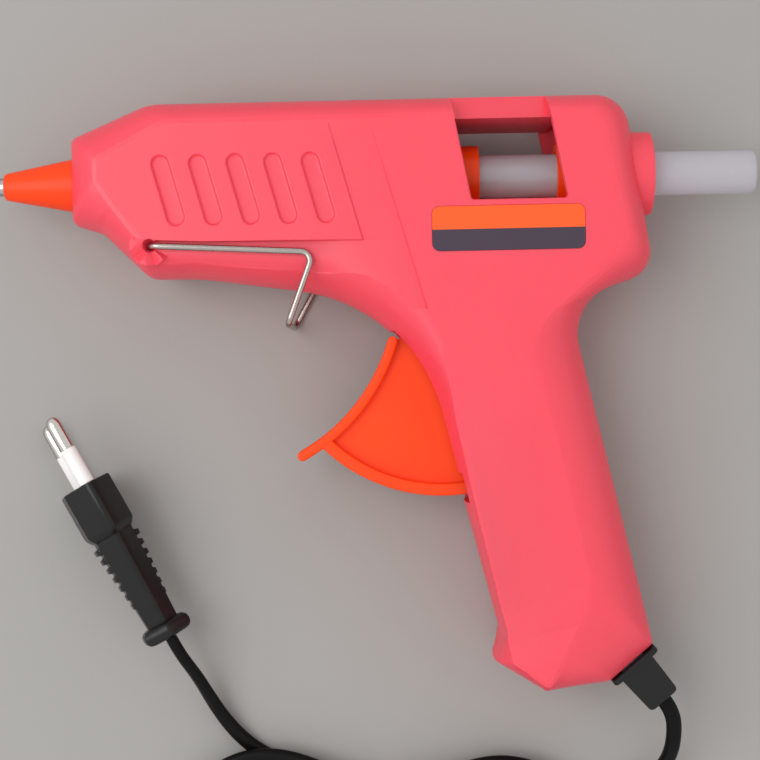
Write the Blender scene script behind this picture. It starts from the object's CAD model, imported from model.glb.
# %% [markdown]
# # A hot glue gun lying on its side
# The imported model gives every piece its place. This lesson keeps that frame, in metres, and puts finer
# surfaces and finishes over it. Each surface is worked out with numpy as rings of points, because a ring
# per station is the easiest shape to check: one ring is one cut through the real thing.

import bmesh
import bpy
import numpy as np
from mathutils import Matrix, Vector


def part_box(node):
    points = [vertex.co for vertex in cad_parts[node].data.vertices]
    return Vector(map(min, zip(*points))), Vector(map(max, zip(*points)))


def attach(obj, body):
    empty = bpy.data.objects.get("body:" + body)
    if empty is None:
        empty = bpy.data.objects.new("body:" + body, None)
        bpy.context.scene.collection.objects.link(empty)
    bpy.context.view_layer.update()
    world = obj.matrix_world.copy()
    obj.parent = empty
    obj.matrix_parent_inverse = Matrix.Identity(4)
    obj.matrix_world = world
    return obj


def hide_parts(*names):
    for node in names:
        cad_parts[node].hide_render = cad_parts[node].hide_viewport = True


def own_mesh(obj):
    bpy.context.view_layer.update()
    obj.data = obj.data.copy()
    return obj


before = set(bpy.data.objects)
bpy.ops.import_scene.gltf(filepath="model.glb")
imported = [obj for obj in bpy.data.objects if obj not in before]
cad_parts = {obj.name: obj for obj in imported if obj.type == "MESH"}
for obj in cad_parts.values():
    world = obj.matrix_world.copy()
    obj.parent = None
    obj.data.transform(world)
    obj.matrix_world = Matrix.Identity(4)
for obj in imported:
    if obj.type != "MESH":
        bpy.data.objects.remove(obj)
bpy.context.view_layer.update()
MM = 0.001

# %% [markdown]
# ## Camera
# The photograph looks straight down from a little over 0.4 m, turned by about one degree. A longer lens
# from further off would hide the slopes of the grip, so the camera keeps the photograph's own height: a
# lens of 77.6 mm on a 36 mm sensor gives 3.9 pixels for each millimetre at the gun's middle plane.

# %% Camera above the gun
CAMERA_AT = (2.75, 4.18, 437)
CAMERA_TURN = -0.0213
LENS, SENSOR = 77.6, 36


def into_scene(name, data):
    """A new object with this data, linked to the scene."""
    thing = bpy.data.objects.new(name, data)
    bpy.context.scene.collection.objects.link(thing)
    return thing


camera_data = bpy.data.cameras.new("camera")
camera_data.sensor_width = SENSOR
camera_data.lens = LENS
camera = into_scene("camera", camera_data)
camera.location = [v * MM for v in CAMERA_AT]
camera.rotation_euler = (0, 0, CAMERA_TURN)
bpy.context.scene.camera = camera
print("camera height in mm:", round(camera.location.z / MM, 1))

# %% [markdown]
# ## From rings to pieces
# A closed shell is a stack of rings with equal counts: quads join ring to ring, and one face closes
# each end. Normals are recalculated once, after doubles are merged, so that faces point outwards. A mesh
# then becomes a piece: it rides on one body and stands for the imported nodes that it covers.

# %% Rings to meshes
SAME_POINT = 1e-7


def shell_faces(rings, base):
    """Quads that join each ring to the next, and a face on each end unless the last ring meets the first.
    Corners are counted from base."""
    rows, count = rings.shape[:2]
    row, col = np.meshgrid(np.arange(rows - 1), np.arange(count), indexing="ij")
    here, there, step = row * count, (row + 1) * count, (col + 1) % count
    quads = np.stack([here + col, here + step, there + step, there + col], -1).reshape(-1, 4)
    ends = np.stack([np.arange(count)[::-1], (rows - 1) * count + np.arange(count)])
    open_ends = not np.allclose(rings[0], rings[-1])
    return (quads + base).tolist() + ((ends + base).tolist() if open_ends else [])


def ring_mesh(name, *shells):
    """One mesh of closed shells. A shell is an array of rings, rows by count by three."""
    points, faces, base = [], [], 0
    for rings in shells:
        faces += shell_faces(rings, base)
        points.append(rings.reshape(-1, 3))
        base += len(points[-1])
    mesh = bpy.data.meshes.new(name)
    mesh.from_pydata(np.concatenate(points).tolist(), [], faces)
    work = bmesh.new()
    work.from_mesh(mesh)
    bmesh.ops.remove_doubles(work, verts=work.verts, dist=SAME_POINT)
    bmesh.ops.recalc_face_normals(work, faces=work.faces)
    work.to_mesh(mesh)
    work.free()
    return mesh


print("3 rings of 8 points make", len(shell_faces(np.arange(72.0).reshape(3, 8, 3), 0)), "faces")

# %% Meshes to pieces
def make_piece(mesh, finish, body, nodes, sharp=30):
    """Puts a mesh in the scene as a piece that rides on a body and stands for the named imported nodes.
    Edges that bend by more than the sharp angle, in degrees, stay crisp."""
    mesh.shade_smooth()
    mesh.set_sharp_from_angle(angle=np.radians(sharp))
    mesh.materials.clear()
    mesh.materials.append(finish)
    piece = into_scene(mesh.name, mesh)
    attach(piece, body)
    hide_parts(*nodes)
    print(piece.name, "has", len(mesh.polygons), "faces")
    return piece


print("packed nodes:", len(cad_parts))

# %% [markdown]
# ## Finishes of moulded pieces
# A finish starts from the real material. Colours are written as sRGB hex and turned to linear light, and
# one function adds a node, sets it and links it. Most of the gun is moulded, so one recipe serves them
# all: pigment that drifts slowly, and the grain of the mould's wall.

# %% Colours and nodes
def linear(text):
    """An sRGB hex colour as linear red, green, blue and alpha."""
    share = np.array([int(text[i : i + 2], 16) for i in (1, 3, 5)]) / 255
    light = np.where(share <= 0.04045, share / 12.92, ((share + 0.055) / 1.055) ** 2.4)
    return (*light.tolist(), 1.0)


def add(tree, kind, inputs, **settings):
    """Adds one shader node, sets its settings, and fills its inputs with values or links."""
    node = tree.nodes.new("ShaderNode" + kind)
    for key, value in settings.items():
        setattr(node, key, value)
    for key, value in inputs.items():
        if isinstance(value, bpy.types.NodeSocket):
            tree.links.new(value, node.inputs[key])
        else:
            node.inputs[key].default_value = value
    return node


def new_finish(name):
    """An empty node material; gives the material, its tree and the object coordinates."""
    finish = bpy.data.materials.new(name)
    finish.use_nodes = True
    tree = finish.node_tree
    tree.nodes.clear()
    place = add(tree, "TexCoord", {}).outputs["Object"]
    return finish, tree, place


print("middle grey in linear light:", round(linear("#808080")[0], 3))

# %% Moulded plastic and rubber
NOISE_LOW, NOISE_HIGH = 0.3, 0.7
MOULD_SPREAD = 0.05
GLOW_REACH = 3
GLOW_RGB = (1, 0.25, 0.25)


def moulded(name, colour, shade, roughness, grain_mm, grain_depth, cloud_mm=14, shine=0.5, glow=0.0):
    """A moulded plastic or rubber. The colour drifts slowly between two near shades, as pigment does in
    the melt, and a fine grain from the etched tool roughens the surface and lifts it slightly. Shine is
    the strength of reflections; glow is the share of light that goes in and comes out redder nearby."""
    finish, tree, place = new_finish(name)
    cloud = add(tree, "TexNoise", {"Vector": place, "Scale": 1 / (cloud_mm * MM), "Detail": 3.0})
    tint = add(tree, "MixRGB", {"Fac": cloud.outputs["Fac"], "Color1": linear(colour),
                                "Color2": linear(shade)})
    grain = add(tree, "TexNoise", {"Vector": place, "Scale": 1 / (grain_mm * MM), "Detail": 2.0})
    rough = add(tree, "MapRange", {"Value": grain.outputs["Fac"], "From Min": NOISE_LOW,
                                   "From Max": NOISE_HIGH, "To Min": roughness - MOULD_SPREAD,
                                   "To Max": roughness + MOULD_SPREAD})
    bump = add(tree, "Bump", {"Height": grain.outputs["Fac"], "Strength": 0.6,
                              "Distance": grain_depth * MM})
    skin = add(tree, "BsdfPrincipled", {"Base Color": tint.outputs["Color"],
                                        "Roughness": rough.outputs["Result"],
                                        "Normal": bump.outputs["Normal"], "Specular IOR Level": shine,
                                        "Subsurface Weight": glow, "Subsurface Scale": GLOW_REACH * MM,
                                        "Subsurface Radius": GLOW_RGB})
    add(tree, "OutputMaterial", {"Surface": skin.outputs["BSDF"]})
    return finish


print("moulded roughness varies by", MOULD_SPREAD, "either way")

# %% [markdown]
# ## Mains lead
# The lead is a flat two-core cord, about 4 mm wide, with a shallow groove where the cores meet. It
# leaves the strain relief, drops to the floor, is folded into a hank and ends in the plug. A cubic
# spline by chord length through the route is smoother than straight runs with rounded corners, and it
# keeps the bends wide. The section turns on edge towards the plug, as the photograph shows.

# %% Finish of the lead
# Black PVC jacket, extruded: smooth, with a soft broad shine and faint clouds.
black_pvc = moulded("black_pvc_extruded", "#0E0D0E", "#0B0A0B", 0.38, 0.9, 0.03, cloud_mm=9, shine=0.12)
print("finish:", black_pvc.name)

# %% Hank of the lead
HANK_AT = np.array([2, -120.6])
HANK_TILT = np.radians(-4)
HANK_HALF, HANK_BEND, HANK_STEP, HANK_DRAW = 31.5, 12, 5.4, 7
HANK_FROM, HANK_TURNS, HANK_POINTS = 0.06, 2.11, 203
LAYER_LOW, LAYER_RISE, LAYER_SHIFT, LAYER_RATE = 2, 4.5, 2, 6


def on_hank(x, y, z):
    """Points of the hank, x along its straights, turned by its tilt and set in place."""
    return np.stack([HANK_AT[0] + x * np.cos(HANK_TILT) - y * np.sin(HANK_TILT),
                     HANK_AT[1] + x * np.sin(HANK_TILT) + y * np.cos(HANK_TILT), z], -1)


def hank_points(count):
    """The hank from its top layer back to its bottom one. Share u of a turn runs along the top straight,
    round the right bend, back along the bottom straight and round the left bend; the bend radius grows
    with the distance from the middle turn, the straights are drawn in at the tie by half a cosine, and
    the layer climbs by one step around the middle turn."""
    turn = np.linspace(2 * HANK_TURNS, HANK_FROM, count)
    bend = HANK_BEND + HANK_STEP * np.abs(HANK_TURNS - turn)
    run, arc = 2 * HANK_HALF, np.pi * bend
    along = (turn - np.floor(turn)) * 2 * (run + arc)
    right = np.pi / 2 - np.pi * (along - run) / arc
    left = -np.pi / 2 - np.pi * (along - 2 * run - arc) / arc
    legs = [along < run, along < run + arc, along < 2 * run + arc]
    x = np.select(legs, [along - HANK_HALF, HANK_HALF + bend * np.cos(right), HANK_HALF - along + run + arc],
                  -HANK_HALF + bend * np.cos(left))
    y = np.select(legs, [bend, bend * np.sin(right), -bend], bend * np.sin(left))
    waist = np.where(np.abs(x) < HANK_HALF, (1 + np.cos(np.pi * x / HANK_HALF)) / 2, 0)
    climb = np.clip((turn - HANK_TURNS) * LAYER_RATE + 0.5, 0, 1)
    y = y - np.sign(y) * HANK_DRAW * waist + LAYER_SHIFT * climb
    return on_hank(x - climb, y, LAYER_LOW + waist + LAYER_RISE * climb)


print("hank is", round(2 * (HANK_HALF + HANK_BEND)), "mm long at its middle turn")

# %% Route of the lead
CORD_WIDE, CORD_HIGH = 4.0, 3.3
CORD_STEPS = 1000
EXIT = [73.5247, -78.922, 17.0]
PLUG_AT = [-53, -61.2, 12]
LEAD_ROUTE = [[74.9, -81.1, 16.9], [76.1, -84, 16.2], [76.6, -87.8, 14.6], [76.5, -91.9, 12.4],
              [75.8, -96, 9.9], [74, -100, 7.4], [71, -103.6, 5.2], [66.6, -106.2, 3.6],
              [61, -107.2, 2.8], [54.5, -106.1, 3.6], [48, -102.4, 5.2], [41, -99, 6.4]]
TAIL_ROUTE = [[-26.5, -96, 2.1], [-32.6, -92.6, 2.2], [-37.3, -88.2, 3], [-41.1, -83, 4.5],
              [-44.2, -77.5, 6.6], [-47.1, -71.9, 8.8], [-50.2, -66.6, 11]]
LOW_UNDER, LOW_OVER = 12, 5.5


def curve_through(knots, count):
    """Natural cubic spline by chord length: the second derivatives at the knots solve one tridiagonal
    system, and each sample is read from the cubic of its own span."""
    at_knot = np.concatenate([[0], np.cumsum(np.linalg.norm(np.diff(knots, axis=0), axis=1))])
    span = np.diff(at_knot)
    inner = np.arange(1, len(knots) - 1)
    system = np.eye(len(knots))
    system[inner, inner - 1] = span[:-1]
    system[inner, inner] = 2 * (span[:-1] + span[1:])
    system[inner, inner + 1] = span[1:]
    change = np.zeros_like(knots)
    change[1:-1] = 6 * np.diff(np.diff(knots, axis=0) / span[:, None], axis=0)
    bend = np.linalg.solve(system, change)
    at = np.linspace(0, at_knot[-1], count)
    k = np.clip(np.searchsorted(at_knot, at, side="right") - 1, 0, len(span) - 1)
    left, right, wide = (at_knot[k + 1] - at)[:, None], (at - at_knot[k])[:, None], span[k][:, None]
    return ((bend[k] * left**3 + bend[k + 1] * right**3) / (6 * wide)
            + (knots[k] / wide - bend[k] * wide / 6) * left
            + (knots[k + 1] / wide - bend[k + 1] * wide / 6) * right)


route = np.concatenate([[EXIT], LEAD_ROUTE, hank_points(HANK_POINTS), TAIL_ROUTE, [PLUG_AT]])
# The flat cord lies lower than a round one of its width would, so low stretches come down with it.
near_floor = np.clip((LOW_UNDER - route[:, 2]) / LOW_OVER, 0, 1)
route[:, 2] -= (1 - CORD_HIGH / CORD_WIDE) * route[:, 2] * near_floor
cord_path = curve_through(route, CORD_STEPS)

# %% Jacket of the lead
GROOVE_DEEP, GROOVE_WIDE = 0.12, 0.55
EDGE_FROM, EDGE_OVER, EDGE_TILT = 955, 40, np.radians(75)


def unit(vectors):
    """Each vector of an array divided by its own length."""
    return vectors / np.linalg.norm(vectors, axis=-1, keepdims=True)


def circle(radius, steps):
    """Points of a circle about the origin, one step apart."""
    angle = np.linspace(0, 2 * np.pi, steps, endpoint=False)
    return radius * np.stack([np.cos(angle), np.sin(angle)], -1)


def swept(path, section, up, twist=0.0):
    """A section carried along a path. The tangent is the central difference, the side direction stands
    across the tangent and up, and the section turns about the tangent by twist."""
    ahead = unit(np.gradient(path, axis=0))
    side = unit(np.cross(ahead, np.asarray(up, float)))
    rise = np.cross(side, ahead)
    cosine = (np.cos(twist) * np.ones(len(path)))[:, None]
    sine = (np.sin(twist) * np.ones(len(path)))[:, None]
    u = side * cosine + rise * sine
    v = rise * cosine - side * sine
    return path[:, None] + section[..., 0:1] * u[:, None] + section[..., 1:2] * v[:, None]


jacket = circle(1, 20) * [CORD_WIDE / 2, CORD_HIGH / 2]
jacket[:, 1] *= 1 - GROOVE_DEEP * np.exp(-((jacket[:, 0] / GROOVE_WIDE) ** 2))
on_edge = np.clip((np.arange(CORD_STEPS) - EDGE_FROM) / EDGE_OVER, 0, 1)
cord_rings = swept(cord_path, jacket, (0, 0, 1), EDGE_TILT * on_edge**2 * (3 - 2 * on_edge))
lead = make_piece(ring_mesh("mains_lead", cord_rings * MM), black_pvc, "housing",
                  ["cord_lead", "cord_hank", "cord_tail"])

# %% [markdown]
# ## Housing outline
# The housing is two moulded halves that meet on the gun's middle plane. Seen from the side each half is
# a flat face with a broad rounded edge. Two loops describe it: the outline on the middle plane and the
# edge of the flat face. They have the same corners in the same order, so a point on one has its partner
# on the other, and the rounded edge runs between the two.

# %% Main sizes and leaning edges
HALF_T, WALL = 17.0, 2.2
TOP_H, BELLY_H, BODY_LEN = 19.8, 24.4, 143.7
BUTT_Y, HEEL_Y, NECK_Y = -131, -25.1, -32.3
REAR_LEAN, GRIP_LEAN = 0.1515, 0.24
GRIP_FRONT, GRIP_WIDE = 77.9, 40


def rear_x(y):
    """The rear edge leans back as it goes down."""
    return BODY_LEN - REAR_LEAN * y


def front_x(y):
    """The grip's front edge leans back as it goes down."""
    return GRIP_FRONT - GRIP_LEAN * y


def back_x(y):
    """The grip's back edge stands one grip width behind its front edge."""
    return front_x(y) + GRIP_WIDE


print("grip in mm, front and back at the butt:", round(front_x(BUTT_Y), 1), round(back_x(BUTT_Y), 1))

# %% Corners of the outline and of the flat side
# Each row is a corner's x, its y and its radius, clockwise from the top of the nose.
CHAMFER_TOP = np.array([back_x(BUTT_Y + 11) - 1.2, BUTT_Y + 11])
CHAMFER_END = CHAMFER_TOP - [11.2, 9.2]
OUTLINE = np.array([
    [0, 11.4, 2], [20, TOP_H, 14], [rear_x(TOP_H), TOP_H, 9], [rear_x(HEEL_Y), HEEL_Y, 7],
    [back_x(NECK_Y), NECK_Y, 13], [*CHAMFER_TOP, 1.5], [*CHAMFER_END, 1.5],
    [front_x(BUTT_Y) + 8.3, BUTT_Y, 2], [front_x(BUTT_Y) - 5.1, BUTT_Y + 8.2, 1.5],
    [front_x(BUTT_Y) - 2.5, BUTT_Y + 14, 6], [front_x(-BELLY_H) + 1.8, -BELLY_H - 7.9, 43],
    [32, -BELLY_H - 0.1, 60], [19.4, -BELLY_H, 5], [7.5, -12.6, 6], [0, -10.2, 2]])
SIDE_EDGE = np.array([
    [8, 4.4, 2], [25, 13.4, 10], [rear_x(TOP_H) - 7.7, 13.8, 5], [rear_x(HEEL_Y) - 8, HEEL_Y + 6.6, 5],
    [back_x(NECK_Y) - 11.6, NECK_Y - 8.2, 14], [CHAMFER_TOP[0] - 16.9, CHAMFER_TOP[1] + 16, 8],
    [CHAMFER_END[0] - 12, CHAMFER_END[1] + 9.7, 9], [front_x(BUTT_Y) + 8.3, BUTT_Y + 2.4, 1.5],
    [front_x(BUTT_Y) - 0.2, BUTT_Y + 9.2, 1.5], [front_x(BUTT_Y) - 1.3, BUTT_Y + 16.2, 6],
    [front_x(-BELLY_H) + 4.2, 5.9 - BELLY_H, 40], [36, 7.7 - BELLY_H, 30], [19.5, 7.7 - BELLY_H, 3],
    [12, -7, 6], [8, -0.8, 2]])
# Angle at which the rounded edge meets the flat side at each corner: near 90 degrees it rolls over, and
# less leaves a crease.
CORNER_TURN = np.array([74, 80, 88, 88, 84, 80, 76, 66, 68, 74, 82, 88, 86, 76, 74])
print("corners:", len(OUTLINE), "of the outline and", len(SIDE_EDGE), "of the flat side")

# %% Corners to loops
def corner_frame(corners):
    """For each corner: unit directions to the corner before and after it, and half of its angle."""
    place = corners[:, :-1]
    back, ahead = unit(np.roll(place, 1, axis=0) - place), unit(np.roll(place, -1, axis=0) - place)
    return place, back, ahead, np.arccos(np.clip((back * ahead).sum(1), -1, 1)) / 2


def rounded_loop(corners, steps, between):
    """Each corner becomes an arc: the centre stands on the bisector at radius over the sine of half the
    angle, and the arc turns from one touching point to the other. Straight runs get points between."""
    place, back, ahead, half = corner_frame(corners)
    radius = corners[:, -1]
    centre = place + unit(back + ahead) * (radius / np.sin(half))[:, None]
    first = place + back * (radius / np.tan(half))[:, None] - centre
    last = place + ahead * (radius / np.tan(half))[:, None] - centre
    sweep = (np.pi - 2 * half)[:, None]
    share = np.linspace(0, 1, steps)[None]
    arcs = (centre[:, None] + (np.sin((1 - share) * sweep) / np.sin(sweep))[..., None] * first[:, None]
            + (np.sin(share * sweep) / np.sin(sweep))[..., None] * last[:, None])
    run = np.roll(arcs[:, 0], -1, axis=0) - arcs[:, -1]
    part = (np.arange(between) + 1) / (between + 1)
    runs = arcs[:, -1:] + run[:, None] * part[None, :, None]
    return np.concatenate([arcs, runs], 1).reshape(-1, corners.shape[1] - 1)


print("points of the outline with 3 to a corner:", len(rounded_loop(OUTLINE, 3, 0)))

# %% Loops of the housing
ARC_STEPS, RUN_STEPS = 15, 6
LEAST_RADIUS = 0.4


def inset_corners(corners, depth):
    """Clockwise corners moved inwards by depth along their bisectors; outer corners lose that much
    radius and inner corners gain it. A negative depth moves them outwards."""
    place, back, ahead, half = corner_frame(corners)
    side = np.where(back[:, 0] * -ahead[:, 1] + back[:, 1] * ahead[:, 0] > 0, -1.0, 1.0)
    moved = place + side[:, None] * unit(back + ahead) * (depth / np.sin(half))[:, None]
    radius = np.where(side > 0, np.maximum(corners[:, 2] - depth, LEAST_RADIUS), corners[:, 2] + depth)
    return np.column_stack([moved, radius])


def per_point(values):
    """One value per corner, held along its arc and blended along the straight run to the next corner."""
    run = (np.arange(RUN_STEPS) + 1) / (RUN_STEPS + 1)
    share = np.concatenate([np.zeros(ARC_STEPS), run**2 * (3 - 2 * run)])
    return (values[:, None] * (1 - share) + np.roll(values, -1)[:, None] * share).ravel()


outer_loop = rounded_loop(OUTLINE, ARC_STEPS, RUN_STEPS)
side_loop = rounded_loop(SIDE_EDGE, ARC_STEPS, RUN_STEPS)
inner_loop = rounded_loop(inset_corners(OUTLINE, WALL), ARC_STEPS, RUN_STEPS)
edge_turn = np.radians(per_point(CORNER_TURN))
print("points on each loop:", len(outer_loop))

# %% [markdown]
# ## One hollow half
# From the middle plane the wall bends over to the flat side like a quarter of an ellipse. Where it stops
# short of a quarter it leaves a soft crease round the flat side, which the photograph shows on the nose
# and the grip. A narrow facet cuts the crease, so that the light rolls over it.

# %% Rings of a half
EDGE_RISE, SEAM = 1.0, 0.25
CREASE, CREASE_MOST, FLAT_INSET = 0.6, 0.1, 1.2
UNDER_CREASE, OUTER_STEPS, INNER_STEPS = 0.92, 15, 8


def moved_inwards(loop, depth):
    """A clockwise loop with each point moved to the right of its direction of travel."""
    ahead = unit(np.roll(loop, -1, axis=0) - np.roll(loop, 1, axis=0))
    return loop + depth * np.stack([ahead[:, 1], -ahead[:, 0]], -1)


def at_height(loop, z):
    """A flat loop at one height."""
    return np.column_stack([loop, np.broadcast_to(z, len(loop))])


def edge_rings(loop, depth, angles):
    """Rings of the rounded edge: the plan moves from the loop to the flat side's edge with one minus the
    cosine of the angle, and the height rises with its sine, both scaled to end at the edge turn."""
    share = (1 - np.cos(angles)) / (1 - np.cos(edge_turn))
    rise = np.sin(angles) / np.sin(edge_turn)
    plan = loop + (side_loop - loop) * share[..., None]
    height = EDGE_RISE + (HALF_T - EDGE_RISE - depth) * rise
    return np.concatenate([plan, height[..., None]], -1)


def half_rings():
    """All rings of one half, from the middle of the flat side over the edge to the seam and back inside."""
    reach = np.linalg.norm(side_loop - outer_loop, axis=1)
    before = 1 - np.minimum(CREASE / reach, CREASE_MOST)
    crease = np.arccos(1 - before * (1 - np.cos(edge_turn)))
    roll = np.linspace(UNDER_CREASE, 0, OUTER_STEPS)[:, None] * edge_turn
    outside = edge_rings(outer_loop, 0, np.concatenate([crease[None], roll]))
    inside = edge_rings(inner_loop, WALL, np.linspace(0, 1, INNER_STEPS)[:, None] * edge_turn)
    flats = [at_height(moved_inwards(side_loop, inset), HALF_T) for inset in (FLAT_INSET, CREASE)]
    seam = [at_height(outer_loop, SEAM), at_height(moved_inwards(outer_loop, SEAM), 0),
            at_height(inner_loop, 0)]
    return np.concatenate([np.stack(flats), outside, np.stack(seam), inside])


print("rings of a half:", len(half_rings()))

# %% [markdown]
# ## Openings of the halves
# Each opening is a closed shell of its own, drawn a little larger towards the outside so that its edge
# comes out broken, as a mould leaves it. Exact Booleans take the shells out later, in groups that don't
# overlap, because overlapping shells in one cutter leave holes.

# %% Lofted and turned shells
def lofted(corners, levels, steps=8):
    """Rounded clockwise corners as one ring per level of height and inset."""
    return np.stack([at_height(rounded_loop(inset_corners(corners, inset), steps, 1), z)
                     for z, inset in levels])


def turned(profile, centre, axis, steps=64):
    """A profile of distance and radius turned about an axis through a centre: x for the glue axis, z for
    an axis across the gun."""
    angle = np.linspace(0, 2 * np.pi, steps, endpoint=False)
    along, radius = np.asarray(profile, float).T
    a = np.broadcast_to(along[:, None], (len(along), steps))
    b, c = radius[:, None] * np.cos(angle), radius[:, None] * np.sin(angle)
    return np.stack([a, b, c] if axis == "x" else [b, c, a], -1) + np.asarray(centre, float)


ON_AXIS = (0, 0, 0)
nose_hole = turned([[-2, 7.5], [0, 7.2], [0.25, 7], [4, 7]], ON_AXIS, "x", 96)
stick_hole = turned([[131, 6.1], [147, 6.1], [147.4, 6.5], [149, 6.5]], ON_AXIS, "x", 96)
print("points round the nose hole:", nose_hole.shape[1])

# %% Feed window and the slope over it
WINDOW_LOW, WINDOW_HIGH, WINDOW_W = -7.4, 13.1, 23.8
WINDOW_AT, WINDOW_LEAN, WINDOW_R = 99.4, 0.187, 0.8
WINDOW_LEVELS = [(-1, 0.35), (2, 0.3), (16.6, 0), (16.8, -0.08), (17, -0.3), (18, -1.6)]
ROOF_Z, ROOF_FALL, ROOF_LOW, ROOF_TOP = 13, 5.5, 12.1, 18
BAR_TOP, BAR_BASE, BAR_SIDE, BAR_SHOULDER, BAR_END = 18.7, 0.02, 15.2, 7.5, 2


def window_x(y):
    """The feed window's left edge leans the same way as the grip, a little less."""
    return WINDOW_AT - WINDOW_LEAN * y


def window_cut():
    """The feed window's four corners, leaning, with a broken edge at the outside."""
    high, low = window_x(WINDOW_HIGH), window_x(WINDOW_LOW)
    corners = np.array([[high, WINDOW_HIGH, WINDOW_R], [high + WINDOW_W, WINDOW_HIGH, WINDOW_R],
                        [low + WINDOW_W, WINDOW_LOW, WINDOW_R], [low, WINDOW_LOW, WINDOW_R]])
    return lofted(corners, WINDOW_LEVELS)


def roof_bar():
    """A solid bar over the window, between the housing's top and the opening: a five-sided cut carried
    along the window's width."""
    cut = np.array([[WINDOW_HIGH, BAR_BASE], [BAR_TOP, BAR_BASE], [BAR_TOP, BAR_SHOULDER],
                    [WINDOW_HIGH + WALL, BAR_SIDE], [WINDOW_HIGH, BAR_SIDE]])
    ends = (window_x(WINDOW_HIGH) - BAR_END, window_x(WINDOW_HIGH) + WINDOW_W + BAR_END)
    return np.stack([np.column_stack([np.full(5, x), cut]) for x in ends])


def roof_cut():
    """The slope over the window: five points in the cut, from the opening's roof out to the housing's top,
    with both ends leaning like the window."""
    high = TOP_H + 1
    slope = np.array([[ROOF_LOW, ROOF_Z], [WINDOW_HIGH, ROOF_Z], [high, ROOF_Z - ROOF_FALL],
                      [high, ROOF_TOP], [ROOF_LOW, ROOF_TOP]])
    left = window_x(slope[:, 0])
    return np.stack([np.column_stack([left, slope]), np.column_stack([left + WINDOW_W, slope])])


print("window height in mm:", WINDOW_HIGH - WINDOW_LOW)

# %% Five slots on the side
SLOT_RUN, SLOT_R, SLOT_LEAN = 13.6, 2.15, np.radians(-74.6)
SLOT_FIRST, SLOT_PITCH, SLOT_COUNT = np.array([24.2, 2.9]), 9.25, 5
SLOT_LEVELS = [(16.1, 0.9), (16.13, 0.55), (16.22, 0.3), (16.4, 0.12), (16.65, 0), (16.85, -0.1),
               (16.95, -0.22), (17, -0.42), (17.3, -1.6)]


def slot_cuts():
    """Blind slots: a capsule of one run and radius, leaning, repeated along the gun at one pitch, with a
    round floor and a broken edge."""
    run, r = SLOT_RUN, SLOT_R
    local = np.array([[-r, r], [run + r, r], [run + r, -r], [-r, -r]])
    lean = np.array([[np.cos(SLOT_LEAN), np.sin(SLOT_LEAN)], [-np.sin(SLOT_LEAN), np.cos(SLOT_LEAN)]])
    starts = SLOT_FIRST + np.outer(np.arange(SLOT_COUNT) * SLOT_PITCH, [1, 0])
    return [lofted(np.column_stack([local @ lean + start, np.full(4, r - 0.01)]), SLOT_LEVELS, 12)
            for start in starts]


print("side slots:", len(slot_cuts()))

# %% Slot for the trigger
PIVOT = np.array([93, -37.5])


def sector(reach, start, end, low, high):
    """A plan sector about the trigger's pivot between two reaches, in degrees, as a plate of two levels."""
    angle = np.radians(np.linspace(start, end, 40))
    way = np.stack([np.cos(angle), np.sin(angle)], -1)
    plan = np.concatenate([PIVOT + reach[0] * way, PIVOT + reach[1] * way[::-1]])
    return np.stack([at_height(plan, low), at_height(plan, high)])


# The slot is as deep as the finger flange; a deeper notch in its end lets the bottom rim pass in.
trigger_slot = sector((0.5, 45.2), 292, 187, -1, 6.8)
rim_notch = sector((37.8, 45.5), 292, 262, -1.2, 11)
print("points round the trigger's slot:", trigger_slot.shape[1])

# %% [markdown]
# ## Low forms on the sides
# The sides aren't plain: the grip falls a little towards the trigger, the stand's leg lies in a hollow
# under the side panel, and a shallow band runs down behind the panel. Each is a cutter whose floor is
# worked out station by station, since a displaced surface would need many more faces for the same edge.

# %% Facet of the grip
SIDE_TOP, OVER_FACET = 17.02, 20.0
FACET_WAY, FACET_REACH = [-35, -8.4], 36
# Each row is a point on the crease, x and y, and the side's slope there.
FACET = np.array([[108, -40, 0], [115.5, -50, 0.03], [120.4, -62, 0.06], [123.4, -74, 0.075],
                  [126.2, -90, 0.08], [128, -102, 0.08], [126, -112.5, 0.07], [121.5, -120.5, 0.05],
                  [117, -128, 0.03]])


def facet_cut():
    """At each station the cut's floor runs from the crease to the front at the slope of the side there."""
    crease = FACET[:, :2]
    front = crease + FACET_WAY
    corners = np.stack([crease, front, front, crease], 1)
    flat, over = np.full(len(FACET), SIDE_TOP), np.full(len(FACET), OVER_FACET)
    z = np.stack([flat, SIDE_TOP - FACET_REACH * FACET[:, 2], over, over], -1)
    return np.concatenate([corners, z[..., None]], -1)


print("facet stations:", len(FACET))

# %% Hollow for the stand's leg
# Each row is a station: x, the panel's lower edge, the floor's height, its width and its fall.
HOLLOW = np.array([[17.5, -15.2, 15.1, 1, 1], [20, -15.8, 15.1, 1, 1], [34, -16.45, 15.1, 1, 1],
                   [50, -16.6, 15.1, 1.2, 1], [62, -16.7, 15.1, 1.4, 0.9],
                   [64.5, -16.72, 15.25, 1.43, 0.75], [67, -16.74, 15.55, 1.46, 0.55],
                   [69.5, -16.77, 15.85, 1.48, 0.35], [72, -16.8, 16.1, 1.5, 0.2],
                   [74.5, -16.83, 16.27, 1.5, 0.1], [83.5, -16.9, 16.58, 1.5, 0.02]])
HOLLOW_ACROSS = np.array([0.3, 0, -2.2, -3.2, -4, -4.8, -5.4, -26, -26])
HOLLOW_FALL = np.array([0, 0, 0, -0.2, -0.6, -1.3, -1.9, -1.9, 0])
OVER_SIDE = 19.0


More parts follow.
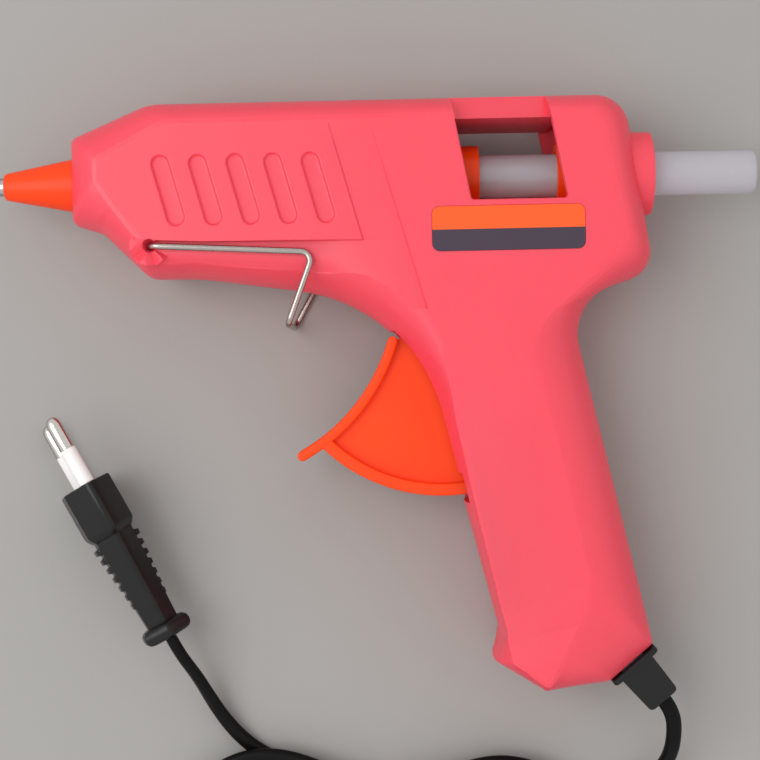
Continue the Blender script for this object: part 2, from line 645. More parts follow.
def hollow_cut():
    """The floor of a station runs down from the panel's edge by its width times the steps across, and
    sinks by its fall times the steps down, so that it rolls into the belly. Behind the knee of the wire
    it climbs into the band."""
    x, edge, floor, wide, fall = HOLLOW.T[:, :, None]
    y = edge + wide * HOLLOW_ACROSS
    z = floor + fall * HOLLOW_FALL
    z[:, [0, -1]] = OVER_SIDE
    return np.stack([np.broadcast_to(x, y.shape), y, z], -1)


print("hollow stations:", len(HOLLOW))

# %% Band behind the panel
# Each row is a station: y and the height of the band's floor.
BAND = np.array([[12.5, 17.02], [9, 16.7], [0, 16.55], [-17, 16.45], [-34, 16.4]])
# Each row is a line of the band: its x at a height, its lean and that height.
BAND_LINES = ((66.4, 0.2764, 10.8), (76.3, 0.2864, 10.6))
BAND_EDGE, BAND_TOP = 0.45, 17.03


def band_cut():
    """Both lines lean back, each at its own rate. The floor starts at nothing near the top and deepens
    downwards, and both edges are soft slopes."""
    y, floor = BAND.T
    left, right = (x - lean * (y - at) for x, lean, at in BAND_LINES)
    over, edge = np.full(len(BAND), OVER_SIDE), np.full(len(BAND), BAND_TOP)
    low, high = left - BAND_EDGE, right + BAND_EDGE
    x = np.stack([low, low, left, right, high, high], -1)
    z = np.stack([over, edge, floor, floor, edge, over], -1)
    return np.stack([x, np.broadcast_to(y[:, None], x.shape), z], -1)


print("deepest part of the band in mm:", round(HALF_T - BAND[:, 1].min(), 2))

# %% [markdown]
# ## Boss, collar and seats
# A low disc round the stand's pivot has grooves that catch the wire, a collar guides the stick at the
# back, and the butt has a square hole for the strain relief. The disc's top is a height over angle and
# radius, which gives V grooves without another cut.

# %% Boss of the stand
STAND_PIVOT = np.array([21, -17.1])
BOSS_LOW, BOSS_FOOT, BOSS_RISE, GROOVE_SLOPE = 8.0, 15.0, 1.45, 0.75
GROOVE_WAYS = np.radians([217, 287])
FAR_SIDE = 9
FOLD_WAY, FOLD_HALF, FOLD_EASE = np.radians(-3), 0.5, 0.25
BOSS_RADII = np.array([5, 5, 4.8, 4, 3, 2, 1.2])[:, None]
BOSS_BREAK = np.array([0, -0.25, 0, 0, 0, 0, 0])[:, None]


def detent_boss():
    """Rings from the rim to the hole. The top is lower on the side where the wire folds, and falls to a V
    along each groove by the distance across it; the rim's edge is broken and its foot goes down."""
    angle = np.linspace(0, 2 * np.pi, 120, endpoint=False)
    across = np.min([np.abs(BOSS_RADII * np.sin(angle - way)) + FAR_SIDE * (np.cos(angle - way) < 0)
                     for way in GROOVE_WAYS], axis=0)
    from_fold = np.abs((angle - FOLD_WAY + np.pi) % (2 * np.pi) - np.pi)
    fold = np.clip((from_fold - FOLD_HALF) / FOLD_EASE, 0, 1)
    groove = np.clip(BOSS_RISE - GROOVE_SLOPE * across, 0, BOSS_RISE)
    top = BOSS_FOOT + (BOSS_RISE - groove) * fold + BOSS_BREAK
    height = np.where(np.arange(len(BOSS_RADII))[:, None] == 0, BOSS_LOW, top)
    return np.stack([STAND_PIVOT[0] + BOSS_RADII * np.cos(angle),
                     STAND_PIVOT[1] + BOSS_RADII * np.sin(angle), height], -1)


wire_hole = turned([[8, 0.95], [13.6, 0.95], [15.2, 1.7], [20, 1.7]], (*STAND_PIVOT, 0), "z", 48)
print("grooves in the boss:", len(GROOVE_WAYS))

# %% Collar, strain relief's hole and screw seats
COLLAR = np.array([[137.7, 0.5], [137.7, 10.6], [146.9, 10.6], [147.2, 10.48], [147.3, 10.2], [147.3, 0.5]])
RELIEF_HOLE = np.array([[-4, -1], [4, -1], [4, 4.2], [-4, 4.2]])
LABEL = np.array([[90.8, -8.9, 2], [128.7, -8.9, 2], [128.7, -20.1, 2], [90.8, -20.1, 2]])
# Each row is a screw: x, y and the height at which its head sits.
SCREWS = np.array([[30, 14.2, 11], [86, 14.2, 11], [134, -21, 13.6], [64, -21.5, 11], [118, -84, 14.4],
                   [115, BUTT_Y + 14.8, 14.4]])
HEAD_R, HEAD_TALL = 2.9, 1.9


def collar_half():
    """Half a ring behind the rear edge: a round-edged profile of distance and radius, turned by 180
    degrees."""
    angle = np.linspace(0, np.pi, 49)[:, None]
    x = np.broadcast_to(COLLAR[:, 0], (49, len(COLLAR)))
    return np.stack([x, COLLAR[:, 1] * np.cos(angle), COLLAR[:, 1] * np.sin(angle)], -1)


def relief_frame(points):
    """Points along the strain relief, x out of the butt and y along the chamfer, set on the gun."""
    middle = (CHAMFER_TOP + CHAMFER_END) / 2
    along = unit(CHAMFER_END - CHAMFER_TOP)
    out = np.array([-along[1], along[0]])
    flat = middle + points[..., 0:1] * out + points[..., 1:2] * np.array([-out[1], out[0]])
    return np.concatenate([flat, points[..., 2:]], -1)


relief_hole = relief_frame(np.stack([np.column_stack([np.full(4, x), RELIEF_HOLE]) for x in (-6.0, 4.0)]))
label_seat = lofted(LABEL, [(16.7, 0), (16.95, 0), (17.2, -0.25)])
head_seats = [turned([[z, HEAD_R], [z + HEAD_TALL, HEAD_R], [18, HEAD_R]], (x, y, 0), "z", 48)
              for x, y, z in SCREWS]
print("screw seats:", len(head_seats))

# %% [markdown]
# ## Housing
# The halves are moulded ABS in coral pink with a satin, lightly eroded tool surface: broad soft
# highlights, no sharp reflections, and a colour that drifts by a hair over the side. Some light goes into
# the plastic and comes out redder, which warms its shaded slopes. Both halves share one recipe; the right
# one is mirrored and its normals are turned back.

# %% Coral ABS
# The real erosion grain is near 0.1 mm; it is drawn at 0.7 mm so that it shows at all in the render.
coral_abs = moulded("coral_abs_moulded", "#F5465A", "#F04155", 0.42, 0.7, 0.02, cloud_mm=22, shine=0.65,
                    glow=0.35)
print("finish:", coral_abs.name)

# %% Booleans and place
left_low, left_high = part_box("left_shell")
NOSE = np.array([left_low.x, left_high.y - TOP_H * MM, left_low.z])


def boolean(base, tool, operation):
    """The exact Boolean of two closed meshes, as a new mesh with the base's name; both are used up."""
    owner, other = into_scene("base", base), into_scene("tool", tool)
    modifier = owner.modifiers.new("cut", "BOOLEAN")
    modifier.operation, modifier.solver, modifier.object = operation, "EXACT", other
    made = bpy.data.meshes.new_from_object(owner.evaluated_get(bpy.context.evaluated_depsgraph_get()))
    name = base.name
    bpy.data.objects.remove(owner)
    bpy.data.objects.remove(other)
    bpy.data.meshes.remove(base)
    bpy.data.meshes.remove(tool)
    made.name = name
    return made


def placed(mesh, mirror=1):
    """A mesh drawn in millimetres from the nose face on the glue axis, moved into the part's frame."""
    mesh.transform(Matrix.Translation(NOSE.tolist()) @ Matrix.Diagonal((MM, MM, mirror * MM, 1)))
    if mirror < 0:
        mesh.flip_normals()
    return mesh


print("nose face in mm:", (NOSE / MM).round(2).tolist())

# %% Carve both halves
HOUSING_SHARP = 9.5


def shell_half(name, extra):
    """One half: the hollow rings with the roof bar on, openings out, boss and collar on, fine cuts out."""
    half = ring_mesh(name, half_rings())
    steps = [("UNION", [roof_bar()]),
             ("DIFFERENCE", [window_cut(), trigger_slot, relief_hole, nose_hole, *slot_cuts()]),
             ("DIFFERENCE", [hollow_cut()]),
             ("DIFFERENCE", [facet_cut(), rim_notch]),
             ("UNION", [detent_boss()]),
             ("UNION", [collar_half()]),
             ("DIFFERENCE", [stick_hole, wire_hole, roof_cut(), band_cut(), *extra])]
    for operation, shells in steps:
        half = boolean(half, ring_mesh("tool", *shells), operation)
    return half


left_half = make_piece(placed(shell_half("housing_left", [label_seat])), coral_abs, "housing",
                       ["left_shell"], sharp=HOUSING_SHARP)
right_half = make_piece(placed(shell_half("housing_right", head_seats), -1), coral_abs, "housing",
                        ["right_shell"], sharp=HOUSING_SHARP)

# %% [markdown]
# ## Trigger
# The trigger is one orange moulding: a curved flange for the finger, a rim that closes the slot below it,
# and a thinner web between them that reaches back to the hub. Flange and rim are round-edged bars carried
# along arcs, with their ends rounded off like the real ones, and the web is a flat plate.

# %% Orange polypropylene
# Moulded polypropylene: waxy, with a broad faint shine and hardly any grain.
orange_pp = moulded("orange_polypropylene_moulded", "#FF4603", "#FA4001", 0.42, 0.8, 0.012, cloud_mm=16,
                    shine=0.3)
print("finish:", orange_pp.name)

# %% Bars and plates
BAR_STEPS, THIN_END = 70, 0.03


def rounded_bar(half_a, half_b, edge, steps=5):
    """A rectangle of half sizes a and b with rounded corners, as a clockwise loop."""
    corners = np.array([[-half_a, half_b, edge], [half_a, half_b, edge], [half_a, -half_b, edge],
                        [-half_a, -half_b, edge]])
    return rounded_loop(corners, steps, 1)


def arc_bar(centre, radius, start, end, half_t, half_w, edge, round_start=True):
    """A round-edged bar along an arc. Its thickness falls to nothing over the last half thickness of an
    end as the half circle does, so that the end is round; the start may stay square."""
    length = radius * abs(np.radians(end - start))
    along = length * (1 - np.cos(np.linspace(0, np.pi, BAR_STEPS))) / 2
    near = np.clip(np.where(round_start, np.minimum(along, length - along), length - along) / half_t, 0, 1)
    swell = np.maximum(np.sqrt(1 - (1 - near) ** 2), THIN_END)
    angle = np.radians(start + (end - start) * along / length)
    path = centre + radius * np.stack([np.cos(angle), np.sin(angle)], -1)
    section = rounded_bar(half_t, half_w, edge)[None] * np.stack([swell, np.ones(BAR_STEPS)], -1)[:, None]
    return swept(at_height(path, 0.0), section, (0, 0, 1))


def arc_points(centre, radius, start, end, count):
    """Points on an arc, in degrees."""
    angle = np.radians(np.linspace(start, end, count))
    return centre + radius * np.stack([np.cos(angle), np.sin(angle)], -1)


def plate(plan, half):
    """A flat plan as a plate of two rings."""
    return np.stack([at_height(plan, -half), at_height(plan, half)])


print("points round a bar:", len(rounded_bar(1, 1, 0.5)))

# %% Trigger moulding
FINGER_C, FINGER_R, RIM_R = np.array([33.6, -27]), 49.3, 41.95
WEB_HALF, ARM_HALF, HUB_HALF, HUB_R, POST_R = 3.5, 2.2, 6.2, 5, 3.06
ARM_TIP, ARM_TIP_R = np.array([1.6, 19.7]), 2.2


def trigger_mesh():
    """The web, then flange, rim, hub, arm and arm tip joined to it one by one, and the post's hole out."""
    web = np.concatenate([arc_points(FINGER_C, FINGER_R, -18, -54, 40),
                          arc_points(PIVOT, RIM_R, 228, 282.5, 40), PIVOT + [[4, 0], [0, 4.5]]])
    arm = PIVOT + np.array([[-4, 0], [-0.5, 19.7], [3.7, 19.7], [4.5, 0]])
    mesh = ring_mesh("trigger_moulding", plate(web, WEB_HALF))
    for shell in (arc_bar(FINGER_C, FINGER_R, -15.8, -62.8, 1.3, 6, 0.7),
                  arc_bar(PIVOT, RIM_R, 224.6, 283, 1.55, 5.9, 0.5, round_start=False),
                  turned([[-HUB_HALF, HUB_R], [HUB_HALF, HUB_R]], (*PIVOT, 0), "z"), plate(arm, ARM_HALF),
                  turned([[-ARM_HALF, ARM_TIP_R], [ARM_HALF, ARM_TIP_R]], (*(PIVOT + ARM_TIP), 0), "z")):
        mesh = boolean(mesh, ring_mesh("tool", shell), "UNION")
    post = turned([[-9, POST_R], [9, POST_R]], (*PIVOT, 0), "z")
    return boolean(mesh, ring_mesh("tool", post), "DIFFERENCE")


trigger = make_piece(placed(trigger_mesh()), orange_pp, "trigger", ["trigger"], sharp=20)

# %% [markdown]
# ## Nozzle and its cover
# Both are bodies of revolution about the glue axis. The cover is the same orange plastic as the trigger,
# with a rounded lip, and the steel nozzle just shows in front of it. A profile turned about the axis is
# how the real nozzle was cut.

# %% Turned steel
# Free-machining steel, turned: fine rings round the axis and a bright broken edge.
METAL_SPREAD = 0.3


def metal(name, colour, shade, roughness, line_mm, stretch):
    """A bare metal drawn or turned in one direction. Noise stretched along that direction gives fine
    tool lines in colour, roughness and height."""
    finish, tree, place = new_finish(name)
    lines = add(tree, "Mapping", {"Vector": place, "Scale": stretch})
    draw = add(tree, "TexNoise", {"Vector": lines.outputs["Vector"], "Scale": 1 / (line_mm * MM),
                                  "Detail": 3.0})
    tint = add(tree, "MixRGB", {"Fac": draw.outputs["Fac"], "Color1": linear(colour),
                                "Color2": linear(shade)})
    rough = add(tree, "MapRange", {"Value": draw.outputs["Fac"], "From Min": NOISE_LOW,
                                   "From Max": NOISE_HIGH, "To Min": roughness * (1 - METAL_SPREAD),
                                   "To Max": roughness * (1 + METAL_SPREAD)})
    bump = add(tree, "Bump", {"Height": draw.outputs["Fac"], "Strength": 0.4, "Distance": 0.01 * MM})
    skin = add(tree, "BsdfPrincipled", {"Base Color": tint.outputs["Color"],
                                        "Roughness": rough.outputs["Result"],
                                        "Normal": bump.outputs["Normal"], "Metallic": 1.0})
    add(tree, "OutputMaterial", {"Surface": skin.outputs["BSDF"]})
    return finish


turned_steel = metal("free_cutting_steel_turned", "#C6C6C8", "#A9A9AC", 0.26, 0.25, (1, 0.05, 0.05))
print("finish:", turned_steel.name)

# %% Turned pieces on the glue axis
NOZZLE = [[-19, 0.8], [-25, 0.8], [-25, 1.5], [-24.8, 1.75], [-23.8, 2.3], [-23.6, 2.35], [-15.7, 2.35],
          [-5, 4.2], [1.1, 4.2], [1.1, 5.8], [5.45, 5.8], [5.45, 4], [13.95, 4], [13.95, 2.6]]
COVER = [[-17.7, 2.5], [-17.7, 2.8], [-17.6, 3.1], [-17.35, 3.33], [-16.9, 3.5], [0, 6.8], [3.2, 6.8],
         [3.2, 7.9], [5.2, 7.9], [5.2, 5.9], [1, 5.9], [1, 4.3], [-5, 4.3], [-15.8, 2.45]]


def turned_wall(profile, steps=96):
    """A closed profile of distance and radius carried once round the glue axis."""
    angle = np.linspace(0, 2 * np.pi, steps + 1)[:, None]
    along, radius = np.asarray(profile, float).T
    x = np.broadcast_to(along, (steps + 1, len(along)))
    return np.stack([x, radius * np.cos(angle), radius * np.sin(angle)], -1)


nozzle = make_piece(placed(ring_mesh("steel_nozzle", turned(NOZZLE, ON_AXIS, "x", 96))), turned_steel,
                    "housing", ["nozzle"])
cover = make_piece(placed(ring_mesh("nozzle_heat_cover", turned_wall(COVER))), orange_pp,
                   "housing", ["nozzle_cover"])

# %% [markdown]
# ## Glue stick
# The stick is milky ethylene vinyl acetate, cast in a tube: light goes in, scatters and comes out
# softened. The rear end has a sunken face with a round rim. Full scattering inside it would render
# slowly, so part transmission and part diffuse white, with faint long streaks, stands in for it.

# %% Milky stick's finish
# Cast ethylene vinyl acetate: waxy and smooth, with streaks 2.5 mm wide that run along the stick.
STREAK_MM, STREAK_LONG = 2.5, (0.03, 1, 1)
eva, tree, place = new_finish("eva_hot_melt_cast")
stretch = add(tree, "Mapping", {"Vector": place, "Scale": STREAK_LONG})
streak = add(tree, "TexNoise", {"Vector": stretch.outputs["Vector"], "Scale": 1 / (STREAK_MM * MM),
                                "Detail": 1.0})
tint = add(tree, "MixRGB", {"Fac": streak.outputs["Fac"], "Color1": linear("#E0DDE4"),
                            "Color2": linear("#D6D3DB")})
rough = add(tree, "MapRange", {"Value": streak.outputs["Fac"], "From Min": NOISE_LOW,
                               "From Max": NOISE_HIGH, "To Min": 0.15, "To Max": 0.21})
skin = add(tree, "BsdfPrincipled", {"Base Color": tint.outputs["Color"],
                                    "Roughness": rough.outputs["Result"], "IOR": 1.48,
                                    "Transmission Weight": 0.5})
add(tree, "OutputMaterial", {"Surface": skin.outputs["BSDF"]})
print("finish:", eva.name)

# %% Milky stick
STICK = [[28.75, 0.4], [28.75, 5], [28.9, 5.4], [29.3, 5.6], [173.3, 5.6], [173.75, 5.5], [174, 5.2],
         [173.9, 4.7], [173.5, 3], [173.3, 0.4]]
stick = make_piece(placed(ring_mesh("milky_glue_stick", turned(STICK, ON_AXIS, "x", 96))), eva,
                   "stick", ["glue_stick"], sharp=40)

# %% [markdown]
# ## Carriage
# The carriage carries the stick forward; its two rings show in the window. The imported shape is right, so a
# merged copy gets broken edges from a Bevel modifier, which is quicker than drawing it anew.

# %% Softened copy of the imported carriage
CAD_SAME_POINT = 2e-6
BEVEL_FROM = np.radians(35)


def softened(name, node, finish, body, width_mm, segments):
    """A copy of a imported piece, merged and cleaned, with its edges rounded by a Bevel modifier."""
    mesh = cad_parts[node].data.copy()
    mesh.name = name
    work = bmesh.new()
    work.from_mesh(mesh)
    bmesh.ops.remove_doubles(work, verts=work.verts, dist=CAD_SAME_POINT)
    bmesh.ops.dissolve_limit(work, angle_limit=np.radians(1), verts=work.verts, edges=work.edges)
    work.to_mesh(mesh)
    work.free()
    piece = make_piece(mesh, finish, body, [node])
    bevel = piece.modifiers.new("broken_edges", "BEVEL")
    bevel.width, bevel.segments, bevel.limit_method = width_mm * MM, segments, "ANGLE"
    bevel.angle_limit, bevel.harden_normals = BEVEL_FROM, False
    return piece


carriage = softened("feed_carriage_moulding", "feed_carriage", orange_pp, "carriage", 0.35, 3)

# %% [markdown]
# ## Wire stand
# One length of bright spring wire, bent so that its two ends turn into holes in the housing and its bar
# runs across under the nose. The path has rounded corners, and a round section follows it, as the wire
# follows the bending tool.

# %% Drawn wire
# Spring steel, cold drawn and bright: sharp highlights with fine lines along the wire.
drawn_wire = metal("spring_steel_drawn", "#C2BAB4", "#A09892", 0.26, 0.3, (0.15, 1, 0.3))
print("finish:", drawn_wire.name)

# %% Bent wire
WIRE_R, WIRE_BEND, NO_BEND = 0.8, 2.4, 0.05
WIRE_ARC, WIRE_RUN = 12, 8
WIRE_UP = (0.7, 0.3, 0.1)
# The last corner only closes the loop; its arc and the runs to and from it are left off.
WIRE_CORNERS = np.array([[21, -17.1, 10.7], [21, -17.1, 16.2], [61.6, -19.4, 16.2], [54.9, -37.2, 16.2],
                         [54.9, -37.2, -16.2], [64.4, -19.7, -16.2], [21, -17.1, -16.2],
                         [21, -17.1, -10.7], [15, -17.1, 0]])
WIRE_BENDS = np.array([NO_BEND, *[WIRE_BEND] * 6, NO_BEND, NO_BEND])
wire_loop = rounded_loop(np.column_stack([WIRE_CORNERS, WIRE_BENDS]), WIRE_ARC, WIRE_RUN)
wire_path = wire_loop[: -(WIRE_ARC + 2 * WIRE_RUN)]
stand_mesh = ring_mesh("wire_stand_bent", swept(wire_path, circle(WIRE_R, 20), WIRE_UP))
stand = make_piece(placed(stand_mesh), drawn_wire, "stand", ["wire_stand"])

# %% [markdown]
# ## Label
# A printed film of two colours lies in a shallow seat on the side: an orange field over a dark one, with a
# hair of print grain. The colours change at one height, so a comparison of the Y coordinate draws the
# line between them and no picture is needed.

# %% Printed film
# Polyester film, printed: smooth and satin, with specks 0.8 mm wide so that they show in the render.
FIELD_LINE, SPECK_MM = 14.7, 0.8
film, tree, place = new_finish("polyester_film_printed")
height = add(tree, "SeparateXYZ", {"Vector": place}).outputs["Y"]
upper = add(tree, "Math", {0: height, 1: float(NOSE[1] - FIELD_LINE * MM)}, operation="GREATER_THAN")
speck = add(tree, "TexNoise", {"Vector": place, "Scale": 1 / (SPECK_MM * MM), "Detail": 2.0})
field = add(tree, "MixRGB", {"Fac": upper.outputs["Value"], "Color1": linear("#3E3040"),
                             "Color2": linear("#FF5A12")})
bump = add(tree, "Bump", {"Height": speck.outputs["Fac"], "Strength": 0.3, "Distance": 0.01 * MM})
skin = add(tree, "BsdfPrincipled", {"Base Color": field.outputs["Color"], "Roughness": 0.3,
                                    "Normal": bump.outputs["Normal"]})
add(tree, "OutputMaterial", {"Surface": skin.outputs["BSDF"]})
label_film = lofted(LABEL, [(16.7, 0.1), (16.9, 0.1), (16.95, 0.16)])
label = make_piece(placed(ring_mesh("rating_film", label_film)), film, "housing", ["rating_label"])

# %% [markdown]
# ## Strain relief
# A rubber block with a flange sits in the butt's chamfer and guides the lead out. It is a stack of rounded
# rectangles along the way out, and its mouth turns in to the cord; a stack shows each step of the mould.

# %% Rubber block
# Black synthetic rubber, moulded: dark, with a soft shine over a fine spark-eroded grain.
black_rubber = moulded("black_rubber_moulded", "#131314", "#0F0F10", 0.33, 0.7, 0.04, cloud_mm=6, shine=0.35)
# Each row is a ring: the way out, half its length along the chamfer, half its height and its corner radius.
RELIEF = [(-3.6, 3.8, 4, 0.6), (0.05, 3.8, 4, 0.6), (0.05, 6.9, 4.8, 1.4), (0.3, 7.1, 5, 1.6),
          (1.5, 7.1, 5, 1.6), (1.8, 6.85, 4.75, 1.4), (1.8, 5.1, 4.6, 0.8), (2.1, 4.95, 4.45, 0.9),
          (11.9, 4.45, 3.85, 0.9), (12.5, 4.15, 3.6, 0.8), (12.8, 3.7, 3.2, 0.7), (12.8, 2.3, 2.1, 1.9),
          (12.2, 2.1, 1.8, 1.7)]


def along_x(stations):
    """Flat loops set across the x axis, one at each station's distance."""
    return np.stack([np.column_stack([np.full(len(loop), x), loop]) for x, loop in stations])


relief_rings = relief_frame(along_x([(x, rounded_bar(a, b, r)) for x, a, b, r in RELIEF]))
relief = make_piece(placed(ring_mesh("strain_relief_block", relief_rings)), black_rubber,
                    "housing", ["strain_relief"])

# %% [markdown]
# ## Plug
# A flat two-pin plug with a six-sided body, lying on its narrow edge. Rings run from the round bead at the
# cord, along the toothed neck, to the block that holds the pins. One section with a tooth of changing
# height gives neck and teeth in one shell, so that no Boolean is needed.

# %% The plug's own axes and section
PLUG_TURN, PLUG_ROLL = np.radians(118.5), np.radians(16)
SHOULDER, TOOTH_INSET, NO_TOOTH = 0.44, 0.5, 0.05
SHOULDER_R, TOOTH_R, RIDGE_R = 0.35, 0.3, 1.4
plug_x = np.array([np.cos(PLUG_TURN), np.sin(PLUG_TURN), 0])
flat_y = np.array([-np.sin(PLUG_TURN), np.cos(PLUG_TURN), 0])
plug_y = flat_y * np.cos(PLUG_ROLL) + np.array([0, 0, np.sin(PLUG_ROLL)])
plug_z = np.cross(plug_x, plug_y)


def plug_frame(points):
    """Points on the plug, x from the cord to the pins, y through its thickness and z across the pins."""
    x, y, z = points[..., 0:1], points[..., 1:2], points[..., 2:3]
    return (np.array(PLUG_AT) + x * plug_x + y * plug_y + z * plug_z) * MM


def plug_section(half_y, half_z, tooth=NO_TOOTH):
    """A six-sided section with two slopes to a ridge at each narrow end; a tooth lifts both flanks between
    the shoulders and leaves the slopes as they are."""
    shoulder = SHOULDER * half_z
    inner = shoulder - TOOTH_INSET
    side = np.array([[half_y, shoulder, SHOULDER_R], [half_y + tooth, inner, TOOTH_R],
                     [half_y + tooth, -inner, TOOTH_R], [half_y, -shoulder, SHOULDER_R]])
    ridges = [[0, half_z, RIDGE_R]], [[0, -half_z, RIDGE_R]]
    return rounded_loop(np.concatenate([ridges[0], side, ridges[1], side * [-1, -1, 1]]), 5, 2)


print("points round the plug:", len(plug_section(5, 10)))

# %% Plug body
# Each row is a station: the distance from the cord, half the thickness and half the height.
BEAD = [(0, 4.4, 4.6), (0.35, 5.6, 5.8), (1.1, 6.2, 6.35), (2.2, 6.4, 6.5), (3.3, 6.2, 6.35),
        (4.0, 5.5, 5.7), (4.4, 4.1, 4.5)]
BLOCK = [(30.2, 5, 9.9), (30.9, 5.6, 11.2), (32, 6.25, 12.7), (32.6, 6.4, 13), (44.5, 6.4, 13),
         (44.8, 6.3, 12.9), (45, 6, 12.5)]
NECK_FROM, NECK_LONG, NECK_Y_GROWS, NECK_Z_GROWS = BEAD[-1], 25.6, 0.9, 5.4
TOOTH_FIRST, TOOTH_PITCH, TOOTH_TALL, TOOTH_GROWS = 10.6, 2.75, 0.4, 0.14


def neck_section(x, tooth):
    """The neck grows evenly from the bead towards the block, in thickness and in height."""
    start, half_y, half_z = NECK_FROM
    grown = (x - start) / NECK_LONG
    return plug_section(half_y + NECK_Y_GROWS * grown, half_z + NECK_Z_GROWS * grown, tooth)


def plug_rings():
    """Stations along the plug: the bead at the cord, the neck with seven teeth on its flanks that grow
    with it, each a rise, a flat and a fall, and the block that holds the pins."""
    rings = [(x, plug_section(y, z)) for x, y, z in BEAD]
    for i in range(7):
        x, tall = TOOTH_FIRST + TOOTH_PITCH * i, TOOTH_TALL + TOOTH_GROWS * i
        rings += [(x + step, neck_section(x + step, tooth))
                  for step, tooth in ((0, NO_TOOTH), (0.25, tall), (1.5, tall), (1.95, NO_TOOTH))]
    rings += [(x, plug_section(y, z)) for x, y, z in BLOCK]
    return along_x(rings)


plug = make_piece(ring_mesh("two_pin_plug", plug_frame(plug_rings())), black_rubber,
                  "housing", ["plug_body"], sharp=40)

# %% [markdown]
# ## Pins and their sleeves
# The pins are brass with a bright nickel plate, and white polyamide sleeves stand round their roots. Both
# are turned about the axis of each pin and share the plug's own axes, so that they sit square in the block.

# %% Nickel and white polyamide
# Nickel plate, polished: near mirror. Polyamide, moulded: white with a faint satin.
nickel = metal("nickel_plate_polished", "#DAD6D0", "#C4BFB8", 0.14, 0.5, (1, 1, 1))
white_nylon = moulded("white_polyamide_moulded", "#F4F2F0", "#ECEAE8", 0.4, 0.6, 0.01, cloud_mm=4)
print("finishes:", nickel.name, white_nylon.name)

# %% Pins and sleeves
PIN_ROOT, PIN_HALF = 45, 9.5
PIN = [[-7, 1.5], [10.05, 1.5], [10.05, 1.9], [10.15, 2], [16.6, 2], [17.6, 1.85], [18.4, 1.45],
       [18.85, 0.9], [19, 0.25]]
SLEEVE = [[0.05, 1.55], [0.05, 2], [9.85, 2], [10, 1.85], [10, 1.55]]


def on_pins(profile):
    """A profile of distance and radius turned about each pin's axis, in the plug's frame."""
    return [plug_frame(turned(profile, (PIN_ROOT, 0, side * PIN_HALF), "x", 40)) for side in (-1, 1)]


pins = make_piece(ring_mesh("nickel_pins", *on_pins(PIN)), nickel, "housing", ["plug_pins"],
                  sharp=40)
sleeves = make_piece(ring_mesh("pin_sleeves_white", *on_pins(SLEEVE)), white_nylon, "housing",
                     ["pin_sleeves"], sharp=40)

# %% [markdown]
# ## Tie round the hank
# A flat nylon band holds the folded lead. Its loop is a rounded rectangle that stands across the hank, and
# the band's thin section follows it, standing out along the loop's own normal.

# %% Nylon band
TIE_HALF, TIE_HIGH, TIE_LOW, TIE_R, TIE_SHIFT = 20.4, 10.5, 0.4, 4.4, 1
BAND_HALF_WIDE, BAND_HALF_THICK, BAND_R = 2.5, 0.38, 0.3


def tie_rings():
    """One ring per point of the loop: the section's width runs along the hank, and its thickness along the
    loop's outward normal."""
    corners = np.array([[-TIE_HALF, TIE_HIGH, TIE_R], [TIE_HALF, TIE_HIGH, TIE_R], [TIE_HALF, TIE_LOW, TIE_R],
                        [-TIE_HALF, TIE_LOW, TIE_R]])
    loop = rounded_loop(corners, 12, 4)
    ahead = unit(np.roll(loop, -1, axis=0) - np.roll(loop, 1, axis=0))
    out = np.stack([-ahead[:, 1], ahead[:, 0]], -1)
    loop, out = np.concatenate([loop, loop[:1]]), np.concatenate([out, out[:1]])
    band = rounded_bar(BAND_HALF_WIDE, BAND_HALF_THICK, BAND_R, 3)
    across = TIE_SHIFT + loop[:, None, 0] + band[:, 1] * out[:, None, 0]
    high = loop[:, None, 1] + band[:, 1] * out[:, None, 1]
    return on_hank(np.broadcast_to(band[:, 0], across.shape), across, high)


tie = make_piece(ring_mesh("hank_tie_band", tie_rings() * MM), white_nylon, "housing",
                 ["cord_tie"], sharp=40)

# %% [markdown]
# ## Return spring
# A compression spring between a rib and the carriage. A helix carries the wire, and the piece squashes
# towards its fixed end as the carriage comes forward, which is enough for a spring that hardly shows.

# %% Spring wire
SPRING_FROM, SPRING_LONG, SPRING_Y = 66.45, 19.1, -14.5
SPRING_R, SPRING_WIRE_R, SPRING_TURNS = 2.65, 0.35, 8
helix_turn = np.linspace(0, 2 * np.pi * SPRING_TURNS, 400)
helix = np.stack([SPRING_FROM + SPRING_LONG * helix_turn / helix_turn[-1],
                  SPRING_Y + SPRING_R * np.cos(helix_turn), SPRING_R * np.sin(helix_turn)], -1)
spring_rings = swept(helix, circle(SPRING_WIRE_R, 10), (1, 0, 0))
spring = make_piece(placed(ring_mesh("return_spring_coiled", spring_rings)), drawn_wire, "housing",
                    ["return_spring"])
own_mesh(spring)

# %% [markdown]
# ## Pieces inside the housing
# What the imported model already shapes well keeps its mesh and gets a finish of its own: cast aluminium for
# the barrel, ceramic and copper for the heater, mica paper round it, silicone for the sleeve.

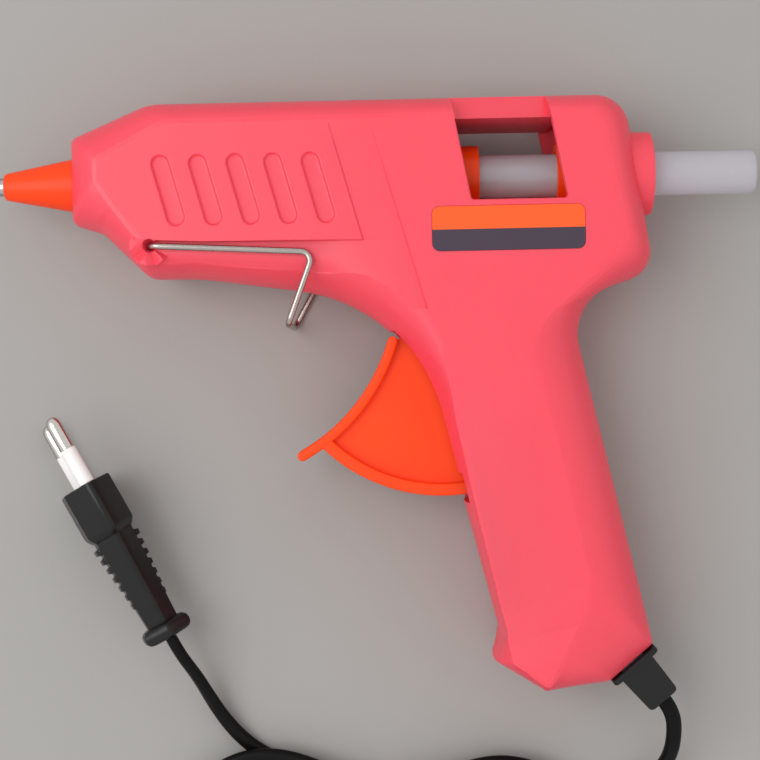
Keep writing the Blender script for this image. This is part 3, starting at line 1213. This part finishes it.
# %% Inner finishes
inner = {
    "heating_barrel": metal("aluminium_die_cast", "#C9CACC", "#A8A9AC", 0.42, 1.2, (1, 1, 1)),
    "heater_ptc": moulded("barium_titanate_fired", "#7A6A5C", "#6A5B4E", 0.7, 0.5, 0.03),
    "heater_electrodes": metal("copper_strip_rolled", "#C98A5E", "#B5764C", 0.3, 0.4, (0.1, 1, 1)),
    "heater_insulation": moulded("mica_paper_pressed", "#D9C79C", "#C9B588", 0.6, 1.0, 0.05),
    "inlet_sleeve": moulded("silicone_sleeve_moulded", "#3A3A3C", "#303032", 0.5, 0.8, 0.02),
    "lead_wires": moulded("silicone_wire_extruded", "#8A5A3C", "#7C4F34", 0.45, 0.9, 0.02),
    "cord_inner": black_pvc, "cord_clamp": white_nylon, "heater_clip": drawn_wire,
    "sleeve_clamp": drawn_wire, "grip_jaw": turned_steel, "jaw_pin": drawn_wire, "shell_screws": nickel,
    "clamp_screws": nickel, "crimp_caps": nickel,
}
for node, finish in inner.items():
    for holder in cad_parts[node].material_slots:
        holder.material = finish
print("inner pieces finished:", len(inner))

# %% [markdown]
# ## Floor and light
# The gun lies on a plain grey sheet under a large soft light from the left, with light from all round it.
# A big area lamp and an even world give the same soft shadows; a small lamp would draw hard ones.

# %% Floor
# Grey board: matt, with slow clouds 60 mm wide.
FLOOR_HALF = 2
grey_sheet = moulded("grey_paper_board", "#A5A3A0", "#A19F9C", 0.8, 3, 0.02, cloud_mm=60, shine=0.2)
floor_mesh = bpy.data.meshes.new("floor")
floor_corners = [(-FLOOR_HALF, -FLOOR_HALF, 0), (FLOOR_HALF, -FLOOR_HALF, 0), (FLOOR_HALF, FLOOR_HALF, 0),
                 (-FLOOR_HALF, FLOOR_HALF, 0)]
floor_mesh.from_pydata(floor_corners, [], [(0, 1, 2, 3)])
floor_mesh.materials.append(grey_sheet)
floor = into_scene("floor", floor_mesh)
print("floor width in m:", 2 * FLOOR_HALF)

# %% Lamp and world
LAMP_AT, LAMP_SIZE, LAMP_POWER = (-0.55, 0.06, 0.82), 0.7, 4.1
WORLD_LIGHT = 0.84
lamp_data = bpy.data.lights.new("soft_lamp", "AREA")
lamp_data.shape, lamp_data.size, lamp_data.energy = "SQUARE", LAMP_SIZE, LAMP_POWER
lamp = into_scene("soft_lamp", lamp_data)
lamp.location = LAMP_AT
lamp.rotation_euler = lamp.location.to_track_quat("Z", "Y").to_euler()
world = bpy.data.worlds.new("even_light")
world.use_nodes = True
background = world.node_tree.nodes["Background"]
background.inputs["Color"].default_value = (1, 1, 1, 1)
background.inputs["Strength"].default_value = WORLD_LIGHT
bpy.context.scene.world = world
bpy.context.scene.view_settings.view_transform = "Standard"
print("lamp height in m:", round(lamp.location.z, 2))
